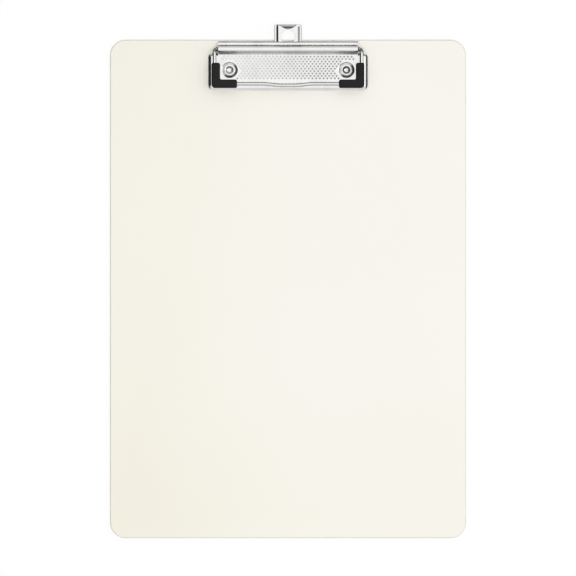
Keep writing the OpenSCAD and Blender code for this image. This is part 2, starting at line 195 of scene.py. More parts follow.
class CLIPBOARD_PG_hanger(bpy.types.PropertyGroup):
    """Sizes of the slide-out hanger."""
    sheet: length("Sheet", "Thickness of the steel", 0.6)
    play: length("Play", "Space between the strips and the board", 0.05)
    strip: length("Side strip", "Width of the strips that run on the board", 1.4)
    lift: length("Web lift", "Height of the web over the strips", 0.5)
    web_turn: turn("Web slope", "Slope between a strip and the web", 35)
    corner: length("Corner", "Radius of the top corners", 1)
    foot: length("Foot length", "Length of the shoulders along the tab", 4)
    lip_bend: length("Lip bend", "Radius of the lip's curl at mid-thickness", 0.8)
    lip_turn: turn("Lip turn", "How far the lip curls back", 150)
    lip_chord: length("Lip width", "Width of the lip", 11)
    lip_depth: length("Lip depth", "Reach of the lip's free edge from the top edge", 2.6)
    cut_edge: length("Cut edge", "Softness of the sheet's cut edges", 0.07)


class CLIPBOARD_PG_finish(bpy.types.PropertyGroup):
    """Colours of the finishes."""
    board: tint("Board", "Cream plastic", (0.897, 0.869, 0.815))
    # Painted shade towards the board's left and its foot, and also the denser cream of random clouds of tone
    board_deep_and_shade: tint("Board, deep", "Cream plastic where it is a little denser", (0.836, 0.812, 0.703))
    # Painted shade for the board's sides
    board_edge_shade: tint("Board side", "Cream plastic along the rubbed edges", (0.66, 0.64, 0.575))
    nickel: tint("Nickel", "Bright nickel plating", (0.86, 0.86, 0.85))
    nickel_dull: tint("Nickel, dull", "Nickel plating where it is handled", (0.74, 0.74, 0.735))
    # Painted shade, laid in the plate's creases, along its top edge and rims, round and in the rivets, on the wire and
    # on the hanger
    painted_shade: tint("Grime", "Dark film in the creases and the rivets' bores", (0.10, 0.10, 0.10))
    wire: tint("Wire", "Drawn spring wire", (0.78, 0.78, 0.77))
    sleeve: tint("Sleeve", "Black soft plastic", (0.008, 0.008, 0.009))
    sleeve_rubbed: tint("Sleeve, rubbed", "Black soft plastic where it is rubbed", (0.009, 0.009, 0.01))


class CLIPBOARD_PG_stage(bpy.types.PropertyGroup):
    """Camera, light and floor."""
    view_w: length("View width", "Width that the camera takes in at the board", 364)
    aim_y: length("Aim", "Place along the board that the camera looks at", 0.6)
    lens: bpy.props.FloatProperty(name="Lens", description="Focal length", default=300.0, subtype="DISTANCE_CAMERA")
    zenith: share("Zenith", "Brightness of the light from above", 1.06, 2.0)
    floor_white: share("Floor glow", "Share of the floor that shows plain white", 0.85)
    floor_r: length("Floor radius", "Radius of the floor", 12000)
    floor_gap: length("Floor gap", "Space between the board and the floor", 0.05)


# ---- Pieces: shared steps ----

def add_object(name, data):
    """Adds an object to the scene."""
    added = bpy.data.objects.new(name, data)
    bpy.context.scene.collection.objects.link(added)
    return added


def add_mesh(name, bm, material):
    """Makes a bmesh an object of the scene."""
    mesh = bpy.data.meshes.new(name)
    bm.to_mesh(mesh)
    bm.free()
    mesh.materials.append(material)
    return add_object(name, mesh)


def put(name, bm, material, body, slot, node, smooth_to=40):
    """Makes a bmesh a piece that rides on a body and stands for a node. Edges are sharp past a turn in degrees."""
    piece = add_mesh(name, bm, material)
    piece.data.shade_smooth()
    piece.data.set_sharp_from_angle(angle=radians(smooth_to))
    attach(piece, body)
    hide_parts(node)
    return piece


def put_pair(name, node, make, *details):
    """Puts the right-hand piece that make() gives, and its mirror image on the left."""
    pieces = []
    for hand in ("right", "left"):
        bm = make()
        if hand == "left":
            bmesh.ops.scale(bm, vec=(-1, 1, 1), verts=bm.verts)
            face_out(bm)
        pieces.append(put(f"{name}_{hand[0]}", bm, *details, f"{node}_{hand}", smooth_to=50))
    return pieces


def modify(piece, name, kind, **settings):
    """Gives a piece a modifier."""
    modifier = piece.modifiers.new(name, kind)
    for key, value in settings.items():
        setattr(modifier, key, value)


def even_shading(piece):
    """Lets the large faces set the shading of the small ones beside them."""
    modify(piece, "Shading", "WEIGHTED_NORMAL", keep_sharp=True)


def thicken(piece, sizes, offset, segments):
    """Gives a sheet its thickness, and softens its cut edges, which turn by more than 60 degrees."""
    modify(
        piece, "Sheet", "SOLIDIFY", thickness=sizes.sheet, offset=offset, use_even_offset=True,
        use_quality_normals=True,
    )
    modify(
        piece, "Edges", "BEVEL", width=sizes.cut_edge, segments=segments, limit_method="ANGLE",
        angle_limit=radians(60), miter_outer="MITER_ARC",
    )
    even_shading(piece)


def verts_of(geometry):
    """The vertices in an operator's result."""
    return [g for g in geometry if isinstance(g, bmesh.types.BMVert)]


def unique(items):
    """The items without repeats, in the same order each run."""
    return list(dict.fromkeys(items))


def circle(bm, centre, radius, segments, turned=Matrix(), **more):
    """Draws a circle, level unless it is turned, and returns its vertices and its edges."""
    verts = bmesh.ops.create_circle(
        bm, radius=radius, segments=segments, matrix=Matrix.Translation(centre) @ turned, **more
    )["verts"]
    return verts, unique(e for v in verts for e in v.link_edges)


def weld(bm):
    """Merges the vertices that lie on each other."""
    bmesh.ops.remove_doubles(bm, verts=bm.verts, dist=TINY)


def face_out(bm):
    """Makes the faces agree, and on a solid look outwards."""
    bmesh.ops.recalc_face_normals(bm, faces=bm.faces)


def round_edges(bm, edges, radius, segments):
    """Rounds edges of a solid."""
    bmesh.ops.bevel(
        bm, geom=edges, offset=radius, offset_type="OFFSET", segments=segments, profile=0.5, affect="EDGES",
        material=-1,
    )


def round_rims(bm, radius):
    """Rounds a prism's edges round its top and its underside."""
    rims = [e for f in bm.faces if abs(f.normal.z) > 0.9 for e in f.edges]
    round_edges(bm, rims, radius, EDGE_STEPS)


def arc(radius, start, end, steps):
    """Run and drop of each facet of a bend from one slope to another."""
    slopes = [start + (end - start) * k / steps for k in range(steps + 1)]
    return [(radius * abs(sin(a1) - sin(a0)), radius * abs(cos(a1) - cos(a0))) for a0, a1 in zip(slopes, slopes[1:])]


def hop(bm, tip, step):
    """Draws an edge from a vertex and returns the vertex at its end."""
    tip = bmesh.ops.extrude_vert_indiv(bm, verts=[tip])["verts"][0]
    tip.co += step
    return tip


def trace(bm, start, heading, moves, axis):
    """Draws a chain of edges from start and returns its last vertex and all its edges. A move is (length,) for a
    straight stretch, or (radius, angle) for a bend about the axis, and a bend without a radius is a corner."""
    known = set(bm.edges)
    tip = bm.verts.new(start)
    heading = Vector(heading).normalized()
    for move in moves:
        if len(move) == 1:
            tip = hop(bm, tip, heading * move[0])
            continue
        radius, angle = move
        if radius > 0:
            side = axis.cross(heading) * copysign(radius, angle)
            steps = max(2, ceil(round(abs(angle) / BEND_STEP, 6)))
            swept = bmesh.ops.spin(
                bm, geom=[tip], cent=tip.co + side, axis=axis, dvec=(0, 0, 0), angle=angle, steps=steps,
                use_duplicate=False,
            )
            tip = verts_of(swept["geom_last"])[0]
        heading.rotate(Quaternion(axis, angle))
    return tip, [e for e in bm.edges if e not in known]


def extend(bm, edges, step):
    """Extrudes edges once, moves each new vertex by what step(vertex) gives, and returns the new front."""
    grown = bmesh.ops.extrude_edge_only(bm, edges=edges)["geom"]
    fresh = set(verts_of(grown))
    for v in fresh:
        v.co += step(v)
    return [e for e in grown if isinstance(e, bmesh.types.BMEdge) and fresh.issuperset(e.verts)]


def fill_flat(bm, edges):
    """Fills a level outline with its holes. It is turned askew for that, so that no two corners lie level."""
    askew = Matrix.Rotation(radians(11), 3, "Z")
    bmesh.ops.rotate(bm, matrix=askew, verts=bm.verts)
    bmesh.ops.triangle_fill(bm, use_beauty=True, use_dissolve=False, edges=edges, normal=Z_AXIS)
    bmesh.ops.rotate(bm, matrix=askew.inverted(), verts=bm.verts)


def face_up(bm):
    """Turns an open sheet so that its front looks up."""
    face_out(bm)
    if sum(f.normal.z * f.calc_area() for f in bm.faces) < 0:
        bmesh.ops.reverse_faces(bm, faces=bm.faces)


# ---- Finishes ----

def both_forms(operation):
    """An operator's plain and reflected forms, each of which adds a Math node."""
    def plain(signal, other):
        return signal.math(operation, other)

    def reflected(signal, other):
        return signal.finish.add("Math", {0: other, 1: signal}, operation=operation)

    return plain, reflected


class Signal:
    """A socket of a finish, for use in Python expressions."""

    def __init__(self, finish, socket):
        self.finish, self.socket = finish, socket

    def math(self, operation, *others):
        return self.finish.add("Math", dict(enumerate((self, *others))), operation=operation)

    def __abs__(self):
        return self.math("ABSOLUTE")

    __add__, __radd__ = both_forms("ADD")
    __sub__, __rsub__ = both_forms("SUBTRACT")
    __mul__, __rmul__ = both_forms("MULTIPLY")
    __truediv__, __rtruediv__ = both_forms("DIVIDE")


def distance(east, north):
    """Length of the step that two signals give."""
    return (east * east + north * north).math("SQRT")


class Finish:
    """The node tree of a material or of the world."""

    def __init__(self, tree):
        self.tree = tree
        tree.nodes.clear()

    def add(self, kind, values=None, output=0, **settings):
        """Adds a node: its settings first, then the values or links of its sockets."""
        node = self.tree.nodes.new("ShaderNode" + kind)
        for key, value in settings.items():
            setattr(node, key, value)
        for key, value in (values or {}).items():
            if isinstance(value, Signal):
                self.tree.links.new(value.socket, node.inputs[key])
            else:
                node.inputs[key].default_value = value
        return Signal(self, node.outputs[output]) if node.outputs else None

    def place(self):
        """Position on the object, in metres."""
        return self.add("TexCoord", output="Object")

    def parts(self, vector):
        """The three parts of a vector."""
        node = self.add("SeparateXYZ", {0: vector}).socket.node
        return [Signal(self, socket) for socket in node.outputs]

    def noise(self, vector, scale, detail=2.0, roughness=0.5):
        values = {"Vector": vector, "Scale": scale, "Detail": detail, "Roughness": roughness}
        return self.add("TexNoise", values, "Fac")

    def streaks(self, vector, scales, detail=2.0, roughness=0.5):
        """Noise with its own scale in each direction."""
        drawn = self.add("VectorMath", {0: vector, 1: scales}, operation="MULTIPLY")
        return self.noise(drawn, 1.0, detail, roughness)

    def ramp(self, value, low, high, bottom=0.0, top=1.0):
        """Smooth step of a value from low to high."""
        values = {"Value": value, "From Min": low, "From Max": high, "To Min": bottom, "To Max": top}
        return self.add("MapRange", values, interpolation_type="SMOOTHSTEP")

    def band(self, value, centre, core, reach):
        """1 up to core from the centre, falling to 0 at reach from it."""
        return self.ramp(abs(value - centre), reach, core)

    def blend(self, factor, first, second):
        """Colour between two colours, each of them a signal or the name of a colour in the settings."""
        colours = bpy.context.scene.clipboard_finish
        first, second = (c if isinstance(c, Signal) else (*getattr(colours, c), 1.0) for c in (first, second))
        return self.add("Mix", {0: factor, 6: first, 7: second}, 2, data_type="RGBA")

    def bump(self, height, distance, strength=0.5, below=None):
        values = {"Height": height, "Distance": distance, "Strength": strength}
        if below is not None:
            values["Normal"] = below
        return self.add("Bump", values)

    def surface(self, **sockets):
        """Ends the finish in a Principled shader with these sockets."""
        values = {key.replace("_", " "): value for key, value in sockets.items()}
        self.add("OutputMaterial", {"Surface": self.add("BsdfPrincipled", values)})

    def metal(self, bright, dull, shade_share, rough, normal):
        """Ends the finish in a bright metal with its shares of dull plating and of painted shade."""
        colour = self.blend(shade_share, self.blend(dull, bright, "nickel_dull"), "painted_shade")
        self.surface(Base_Color=colour, Metallic=1.0, Roughness=rough, Normal=normal)


def finish(name, build):
    """Returns the named material, and builds it the first time."""
    material = bpy.data.materials.get(name)
    if material is None:
        material = bpy.data.materials.new(name)
        material.use_nodes = True
        build(Finish(material.node_tree))
    return material


def board_finish(f):
    """Cream moulded plastic: a fine even grain, painted shade that darkens it towards its left and its foot, random
    clouds of denser tone, painted shade along its sides and a few faint rubs.
    """
    place = f.place()
    across, along, height = f.parts(place)
    # Painted shade: the cream darkens towards the board's left and its foot
    painted_falloff = f.ramp(across, BOARD_LOW.x, 20 * MM) * 0.65 + f.ramp(along, BOARD_LOW.y, -20 * MM) * 0.35
    cloud = f.noise(place, 9.0, 3.0) * 0.8 + f.noise(place, 700.0) * 0.2
    rubs = f.ramp(f.streaks(place, (30.0, 420.0, 30.0), 4.0), 0.62, 0.8)
    grain = f.noise(place, 3200.0, 1.0)
    face = f.blend(painted_falloff * 0.86 + f.ramp(cloud, 0.35, 0.68) * 0.14, "board_deep_and_shade", "board")
    # Painted shade along the board's sides, between its front and its back; the sides are also a little rougher
    side = f.ramp(height, SEAT_Z - 0.02 * MM, SEAT_Z - 0.22 * MM)
    side = side * f.ramp(height, BOARD_LOW.z + 0.02 * MM, BOARD_LOW.z + 0.22 * MM)
    rough = grain * 0.06 + rubs * -0.08 + side * 0.1 + 0.52
    normal = f.bump(f.noise(place, 260.0), 0.03 * MM, 0.35, f.bump(grain, 0.02 * MM, 0.35))
    f.surface(Base_Color=f.blend(side, face, "board_edge_shade"), Roughness=rough, Normal=normal, IOR=1.49)


def nickel_finish(f):
    """Bright nickel on rolled sheet: fine lines along the plate, rubbed patches, small pits, and painted shade in the
    creases, along the top edge and the side rims, with a painted shadow to the right of and below each rivet."""
    place = f.place()
    across, along, height = f.parts(place)
    side = abs(across)
    lines = f.streaks(place, (90.0, 5200.0, 5200.0), 3.0, 0.6)
    patches = f.noise(place, 110.0, 3.0)
    pits = f.ramp(f.noise(place, 2600.0, 1.0), 0.7, 0.8)
    dull = f.ramp(patches, 0.4, 0.75)
    ragged = f.noise(place, 900.0, 5.0, 0.65) * (1.4 * MM) - 0.7 * MM  # how far the edges of the painted shade wander
    # Painted shade in the creases above and below the barrel, stronger below towards the barrel's ends
    above = f.band(along + ragged, HINGE.y + CREASE_OUT, 0.1 * MM, 0.7 * MM)
    below = f.band(along + ragged * 0.6, HINGE.y - CREASE_OUT - 0.4 * MM, 0.4 * MM, 1.1 * MM)
    creases = above * 0.9 + below * (0.55 + f.ramp(side, 28 * MM, 36 * MM) * 0.35)
    creases = creases * f.ramp(side + ragged, BARREL_HALF + 0.2 * MM, BARREL_HALF - 0.6 * MM)
    creases = creases * f.ramp(height, SEAT_Z + 1.5 * MM, SEAT_Z + 1.8 * MM)
    # Painted shade along the plate's top edge and along its side rims
    top_edge_shade = f.ramp(PLATE_HIGH.y - along, 0.8 * MM, 0.4 * MM)
    rim_shade = f.ramp(PLATE_HIGH.x - side - ragged * 0.3, 1.5 * MM, 1.0 * MM)
    east, north = across - across.math("SIGN") * RIVET_X, along - RIVET_Y
    radius = distance(east, north)
    rivet_shadow = f.ramp(east / radius, 0.55, 0.85) + f.ramp(north / radius, -0.6, -0.9)  # painted shadow of a rivet's head: right of it, and below it
    rivet_shadow = rivet_shadow * f.band(radius + ragged * 0.5, RIVET_SHADOW_R, 0.3 * MM, 0.9 * MM)
    # All the painted shade and shadow above, made patchy
    painted_shade = (creases + top_edge_shade * 0.85 + rim_shade * 0.95 + rivet_shadow) * (0.7 + patches * 0.6)
    rough = dull * 0.06 + lines * 0.05 + pits * 0.2 + painted_shade * 0.2 + 0.08
    normal = f.bump(lines, 0.004 * MM, 0.5, f.bump(patches, 0.06 * MM, 0.3))
    f.metal("nickel", dull * 0.6 + pits * 0.4, painted_shade, rough, normal)


def rivet_finish(f):
    """Nickel on a rolled rivet: rings left by the roll, round each rivet's own axis, and painted shade in its mouth,
    darker on the right-hand rivet.
    """
    place = f.place()
    across, along, height = f.parts(place)
    radius = distance(abs(across) - RIVET_X, along - RIVET_Y)
    # Painted shade in the rivet's mouth, darker on the right-hand rivet
    painted_shade = f.ramp(radius, 1.1 * MM, 1.4 * MM) * f.ramp(radius, 2.7 * MM, 2.4 * MM)
    painted_shade = painted_shade * f.ramp(height, 4.3 * MM, 4.0 * MM) * f.ramp(height, 1.5 * MM, 2.0 * MM)
    shade_share = painted_shade * f.ramp(across, 0.0, 20 * MM, 0.4, 0.75)
    rings = f.add("TexNoise", {"W": radius, "Scale": 5200.0, "Detail": 2.0}, "Fac", noise_dimensions="1D")
    patches = f.noise(place, 500.0, 3.0)
    rough = rings * 0.12 + patches * 0.08 + painted_shade * 0.2 + 0.1
    f.metal("nickel", f.ramp(patches, 0.4, 0.7), shade_share, rough, f.bump(rings, 0.01 * MM))


def wire_finish(f):
    """Drawn wire: fine lines that run along it, painted shade on its flanks beside the crown, and a painted shadow
    where it enters the barrel."""
    run = f.add("Attribute", output="Vector", attribute_name="wire_run")
    crown = f.add("Attribute", output="Fac", attribute_name="crown")
    across, along, _ = f.parts(f.place())
    lines = f.streaks(run, (9.0, 9.0, 60.0), 3.0, 0.6)
    patches = f.streaks(run, (1.0, 1.0, 180.0))
    # Painted shade on the wire's flanks, away from its crown
    flank_shade = f.ramp(crown, 0.93, 0.7) * (0.7 + patches * 0.3)
    # Painted shadow on the wire where it enters the barrel
    mouth = f.ramp(abs(across), BARREL_HALF + 1.4 * MM, BARREL_HALF + 0.6 * MM)
    mouth = mouth * f.ramp(along, HINGE.y - 1.6 * MM, HINGE.y - 1.0 * MM)
    rough = lines * 0.14 + patches * 0.06 + mouth * 0.2 + 0.1
    f.metal("wire", f.ramp(patches, 0.35, 0.7), flank_shade.math("MAXIMUM", mouth), rough, f.bump(lines, 0.01 * MM))


def tang_finish(f):
    """Wire flattened in the press: fine marks across it."""
    marks = f.streaks(f.place(), (3000.0, 200.0, 200.0))
    f.metal("wire", f.ramp(marks, 0.35, 0.7), 0.0, marks * 0.2 + 0.2, f.bump(marks, 0.01 * MM))


def sleeve_finish(f):
    """Black soft plastic: satin skin with a fine orange peel and dull rubbed patches."""
    place = f.place()
    peel = f.noise(place, 1900.0)
    rub = f.ramp(f.noise(place, 420.0, 3.0), 0.45, 0.75)
    rough = rub * 0.14 + peel * 0.06 + 0.34
    normal = f.bump(peel, 0.02 * MM, 0.5, f.bump(rub, 0.08 * MM, 0.3))
    f.surface(Base_Color=f.blend(rub, "sleeve", "sleeve_rubbed"), Roughness=rough, Normal=normal, IOR=1.28)


def hanger_finish(f):
    """Bright nickel tab with the long rub marks of its slide, and painted shade along its sheared edges, round its
    hole, along its folds and over its lip.
    """
    place = f.place()
    across, along, height = f.parts(place)
    side = abs(across)
    from_top, from_crest = HANGER_HIGH.y - along, HANGER_HIGH.z - height
    rubs = f.streaks(place, (4200.0, 60.0, 4200.0), 3.0, 0.6)
    patches = f.noise(place, 260.0)
    dull = f.ramp(rubs, 0.5, 0.8)
    # Painted shade along the tab's sides and top edge, round its hole, along its folds and over its lip
    edge = f.ramp((TAB_HALF - side).math("MINIMUM", from_top), 0.6 * MM, 0.2 * MM)
    hole = f.band(distance(across, along - HOLE_Y), HOLE_R, 0.1 * MM, 0.3 * MM)
    fold_shade = f.band(side, FOLD_X, 0.4 * MM, 1.0 * MM) * f.ramp(from_top, 0.5 * MM, 1.5 * MM)
    lip_shade = f.ramp(from_crest, 1.5 * MM, 0.4 * MM) * f.ramp(from_top, 0.6 * MM, 1.4 * MM, 0.45, 1.0)
    rough = dull * 0.12 + patches * 0.06 + 0.12
    shade_share = edge * 0.6 + hole * 0.3 + fold_shade * 0.85 + lip_shade
    f.metal("nickel", dull * 0.5 + patches * 0.3, shade_share, rough, f.bump(rubs, 0.005 * MM))


# ---- Board ----

def make_board(sizes):
    """Board with round corners and edges, and two stepped holes for the rivets."""
    bm = bmesh.new()
    size, middle = BOARD_HIGH - BOARD_LOW, (BOARD_HIGH + BOARD_LOW) / 2
    bmesh.ops.create_cube(bm, size=1.0, matrix=Matrix.Translation(middle) @ Matrix.Diagonal((*size, 1)))
    corners = [e for e in bm.edges if abs((e.verts[0].co - e.verts[1].co).z) > size.z / 2]
    round_edges(bm, corners, sizes.corner, CORNER_STEPS)
    round_rims(bm, sizes.edge)
    flats = [f for f in bm.faces if f.calc_area() > size.x * size.y / 2]
    flats.sort(key=lambda f: f.calc_center_median().z)
    outlines = [list(f.edges) for f in flats]
    bmesh.ops.delete(bm, geom=flats, context="FACES_ONLY")
    back_rings, front_rings = [], []
    for side in (-1, 1):
        centre = Vector((side * RIVET_X, RIVET_Y, BOARD_LOW.z))
        _, edges = circle(bm, centre, sizes.sink, SINK_STEPS)
        back_rings += edges
        edges = extend(bm, edges, lambda v: Z_AXIS * sizes.sink_depth)
        edges = extend(bm, edges, lambda v: (centre - v.co).xy.to_3d() * (1 - sizes.shank_hole / sizes.sink))
        front_rings += extend(bm, edges, lambda v: Z_AXIS * (BOARD_HIGH.z - v.co.z))
    for outline, rings in zip(outlines, (back_rings, front_rings)):
        bmesh.ops.triangle_fill(bm, use_beauty=True, use_dissolve=False, edges=outline + rings)
    face_out(bm)
    return bm


# ---- Clip plate ----

def knurl_cells(bm, sizes, z):
    """Sheet of diamond cells over the panel, with none round a rivet, under a sleeve or joined only by a corner."""
    half_x, half_y = sizes.knurl_across / 2, sizes.knurl_row
    top, foot = PLATE_HIGH.y - sizes.knurl_top, PLATE_HIGH.y - sizes.knurl_foot
    reach = ceil((sizes.knurl_half_w + top - foot) / half_x)
    skew = Matrix(((half_x, half_x, 0, 0), (half_y, -half_y, 0, top), (0, 0, 1, z), (0, 0, 0, 1)))
    grid = bmesh.ops.create_grid(bm, x_segments=reach, y_segments=reach, size=reach / 2, matrix=skew)
    cells = unique(f for v in grid["verts"] for f in v.link_faces)

    def away(cell):
        return min(hypot(abs(v.co.x) - RIVET_X, v.co.y - RIVET_Y) for v in cell.verts)

    def wanted(cell):
        centre = cell.calc_center_median()
        inside = foot - half_y / 2 < centre.y < top + half_y / 2 and abs(centre.x) < sizes.knurl_half_w - half_x
        beside = abs(centre.x) > RIVET_X and centre.y < RIVET_Y
        under_sleeve = abs(centre.x) > SLEEVE_LOW.x - half_x / 2 and centre.y < SLEEVE_LOW.y + sizes.sleeve_ground
        return inside and not beside and not under_sleeve and away(cell) > sizes.plain_disc

    spare = [c for c in cells if not wanted(c)]
    while spare:
        bmesh.ops.delete(bm, geom=spare, context="FACES")
        cells = [c for c in cells if c.is_valid]
        corners = [v.link_faces for c in cells for v in c.verts if len(v.link_faces) == 2]
        spare = unique(min(pair, key=away) for pair in corners if not set(pair[0].edges) & set(pair[1].edges))
    return cells


def make_plate(sizes):
    """Front skin of the clip plate: barrel, knurled panel, ears, turned-down rim and two dishes."""
    bm = bmesh.new()
    skin_z = SEAT_Z + sizes.gap + sizes.sheet
    arch = WIRE_R + sizes.wire_play + sizes.sheet
    rise = HINGE.z + arch - skin_z
    lean = acos(1 - rise / (arch + sizes.crease))
    half = (arch + sizes.crease) * sin(lean)
    moves = [(PLATE_HIGH.y - HINGE.y - half,), (sizes.crease, -lean), (arch, 2 * lean), (sizes.crease, -lean)]
    _, section = trace(bm, (-sizes.barrel_w / 2, PLATE_HIGH.y, skin_z), -Y_AXIS, moves, X_AXIS)
    for _ in range(BARREL_COLUMNS):
        section = extend(bm, section, lambda v: X_AXIS * (sizes.barrel_w / BARREL_COLUMNS))
    panel_y = HINGE.y - half
    rim_r = sizes.rim_bend + sizes.sheet / 2
    rim_fall = skin_z - SEAT_Z - rim_r + (rim_r - sizes.sheet) * cos(sizes.rim_turn)
    rim_reach = rim_fall / tan(sizes.rim_turn)
    rim_w = rim_r * sin(sizes.rim_turn) + rim_reach
    ear_y = PLATE_HIGH.y - sizes.ear_drop - rim_w
    foot_y = PLATE_LOW.y + rim_w
    side_x = PLATE_HIGH.x - rim_w
    ear_r, foot_r = sizes.ear_corner - rim_w, sizes.foot_corner - rim_w
    ear_run = side_x - ear_r - sizes.barrel_w / 2
    side_run = ear_y - ear_r - foot_y - foot_r
    one_side = [(panel_y - ear_y,), (0, QUARTER), (ear_run,), (ear_r, -QUARTER), (side_run,), (foot_r, -QUARTER)]
    moves = [*one_side, (2 * (side_x - foot_r),), *reversed(one_side)]
    trace(bm, (sizes.barrel_w / 2, panel_y, skin_z), -Y_AXIS, moves, Z_AXIS)
    weld(bm)
    outline = [e for e in bm.edges if not e.link_faces]
    rim = [e for e in outline if all(v.co.y < ear_y + TINY for v in e.verts)]
    crease_end = Vector((0, panel_y, skin_z))
    crease = [e for e in bm.edges if all((v.co - crease_end).yz.length < TINY for v in e.verts)]
    dish_r, facets = dish_path(sizes)
    centres = [Vector((side * RIVET_X, RIVET_Y, skin_z)) for side in (-1, 1)]
    rings = [circle(bm, centre, dish_r, ROUND_STEPS)[1] for centre in centres]
    cells = knurl_cells(bm, sizes, skin_z)
    cell_border = [e for c in cells for e in c.edges if len(e.link_faces) == 1]
    fill_flat(bm, unique([*outline, *crease, *cell_border, *rings[0], *rings[1]]))
    for centre, ring in zip(centres, rings):
        for inward, down in facets:
            ring = extend(bm, ring, lambda v: (centre - v.co).xy.normalized().to_3d() * inward - Z_AXIS * down)
    outward = bm.verts.layers.float_vector.new("outward")
    middle_y = (ear_y + foot_y) / 2
    for v in {v for e in rim for v in e.verts}:
        corner_r, corner_y = (ear_r, ear_y - ear_r) if v.co.y > middle_y else (foot_r, foot_y + foot_r)
        across = max(abs(v.co.x) - (side_x - corner_r), 0) * copysign(1, v.co.x)
        past_corner = abs(v.co.y - middle_y) > abs(corner_y - middle_y)
        v[outward] = Vector((across, v.co.y - corner_y if past_corner else 0, 0)).normalized()
    for out, down in (*arc(rim_r, 0, sizes.rim_turn, RIM_STEPS), (rim_reach, rim_fall)):
        rim = extend(bm, rim, lambda v: v[outward] * out - Z_AXIS * down)
    face_up(bm)
    bmesh.ops.inset_individual(bm, faces=cells, thickness=sizes.bump_base, depth=0, use_even_offset=True)
    slope, height = sizes.bump_slope, sizes.bump_height
    bmesh.ops.inset_individual(bm, faces=cells, thickness=slope, depth=height, use_even_offset=True)
    pressed_y = PLATE_HIGH.y - sizes.knurl_foot + sizes.foot_reach
    for v in {v for c in cells for v in c.verts}:
        reach = hypot(side_x - v.co.x, v.co.y - foot_y) / (2 * side_x)
        wear = max(sizes.bump_wear * min(reach, 1), sizes.foot_wear if v.co.y < pressed_y else 0)
        v.co.z -= height * wear
    return bm


def dish_path(sizes):
    """Radius of a dish in the panel, and how far each facet goes in and down from there to the rivet's hole."""
    bend, slope = sizes.dish_bend, sizes.dish_turn
    wall = (sizes.gap - 2 * bend * (1 - cos(slope))) / sin(slope)
    facets = [
        *arc(bend + sizes.sheet / 2, 0, slope, SMALL_STEPS), (wall * cos(slope), wall * sin(slope)),
        *arc(bend - sizes.sheet / 2, slope, 0, SMALL_STEPS), (sizes.dish_floor - sizes.dish_hole, 0),
    ]
    return sizes.dish_hole + sum(inward for inward, _ in facets), facets


# ---- Rivets ----

def make_rivet(sizes, seat):
    """Tubular rivet turned from its half section: flat foot, shank, and a rolled head on its seat with a mouth."""
    bm = bmesh.new()
    start = Vector((RIVET_X, RIVET_Y, RIVET_LOW.z))
    nib = sizes.nib
    tip, _ = trace(
        bm, start, X_AXIS,
        [(sizes.foot - nib,), (nib, -QUARTER), (sizes.foot_top - RIVET_LOW.z - nib,), (0, -QUARTER),
         (sizes.foot - sizes.shank,), (0, QUARTER), (seat - sizes.foot_top,), (0, QUARTER),
         (sizes.head - sizes.shank,), (0, -QUARTER), (RIVET_HIGH.z - seat - sizes.brow,), (sizes.brow, -QUARTER),
         (sizes.head - sizes.brow - sizes.mouth - sizes.lip,), (sizes.lip, -QUARTER)],
        Y_AXIS,
    )
    tip = hop(bm, tip, Vector((RIVET_X + sizes.bore, RIVET_Y, seat - sizes.bore_depth)) - tip.co)
    hop(bm, tip, -X_AXIS * sizes.bore)
    bmesh.ops.spin(
        bm, geom=list(bm.verts) + list(bm.edges), cent=start, axis=Z_AXIS, dvec=(0, 0, 0), angle=2 * pi,
        steps=ROUND_STEPS, use_merge=True, use_duplicate=False,
    )
    weld(bm)
    face_out(bm)
    return bm


# ---- Wire bail ----

def rounded_route(points, radii):
    """Centreline through points with the corners rounded: a list of places close along the bends."""
    places = [points[0]]
    for last, point, following, radius in zip(points, points[1:], points[2:], radii[1:]):
        before, after = (point - last).normalized(), (following - point).normalized()
        angle = before.angle(after)
        start = point - before * (radius * tan(angle / 2))
        axis = before.cross(after).normalized()
        centre = start + axis.cross(before) * radius
        steps = max(4, ceil(angle / WIRE_STEP))
        places += [centre + Quaternion(axis, angle * k / steps) @ (start - centre) for k in range(steps + 1)]
    return places + [points[-1]]


def rubbed(outward):
    """How far a side of the wire faces up or towards the board's foot, from -1 to 1; the finish paints shade on the
    flanks that face away.
    """
    outward = outward.normalized()
    return max(outward.z, -outward.y)


def make_wire(places):
    """Wire along the places, with closed ends. Stores the run along and round it, and which side is its crown."""
    bm = bmesh.new()
    run_layer = bm.verts.layers.float_vector.new("wire_run")
    crown_layer = bm.verts.layers.float.new("crown")
    heading = (places[1] - places[0]).normalized()
    turned = heading.to_track_quat("Z", "Y").to_matrix().to_4x4()
    verts, edges = circle(bm, places[0], WIRE_R, WIRE_SIDES, turned, cap_ends=True)
    for i, v in enumerate(verts):
        angle = 2 * pi * i / WIRE_SIDES
        v[run_layer] = (cos(angle), sin(angle), 0)
        v[crown_layer] = rubbed(v.co - places[0])
    run = 0.0
    for i in range(1, len(places)):
        hub, place = places[i - 1], places[i]
        before = (place - hub).normalized()
        after = (places[i + 1] - place).normalized() if i + 1 < len(places) else heading
        tangent = (before + after).normalized()
        bend = heading.rotation_difference(tangent)
        run += (place - hub).length
        edges = extend(bm, edges, lambda v: place + bend @ (v.co - hub) - v.co)
        for v in {v for e in edges for v in e.verts}:
            v[run_layer].z = run
            v[crown_layer] = rubbed(v.co - place)
        heading = tangent
    bmesh.ops.contextual_create(bm, geom=edges)
    face_out(bm)
    return bm


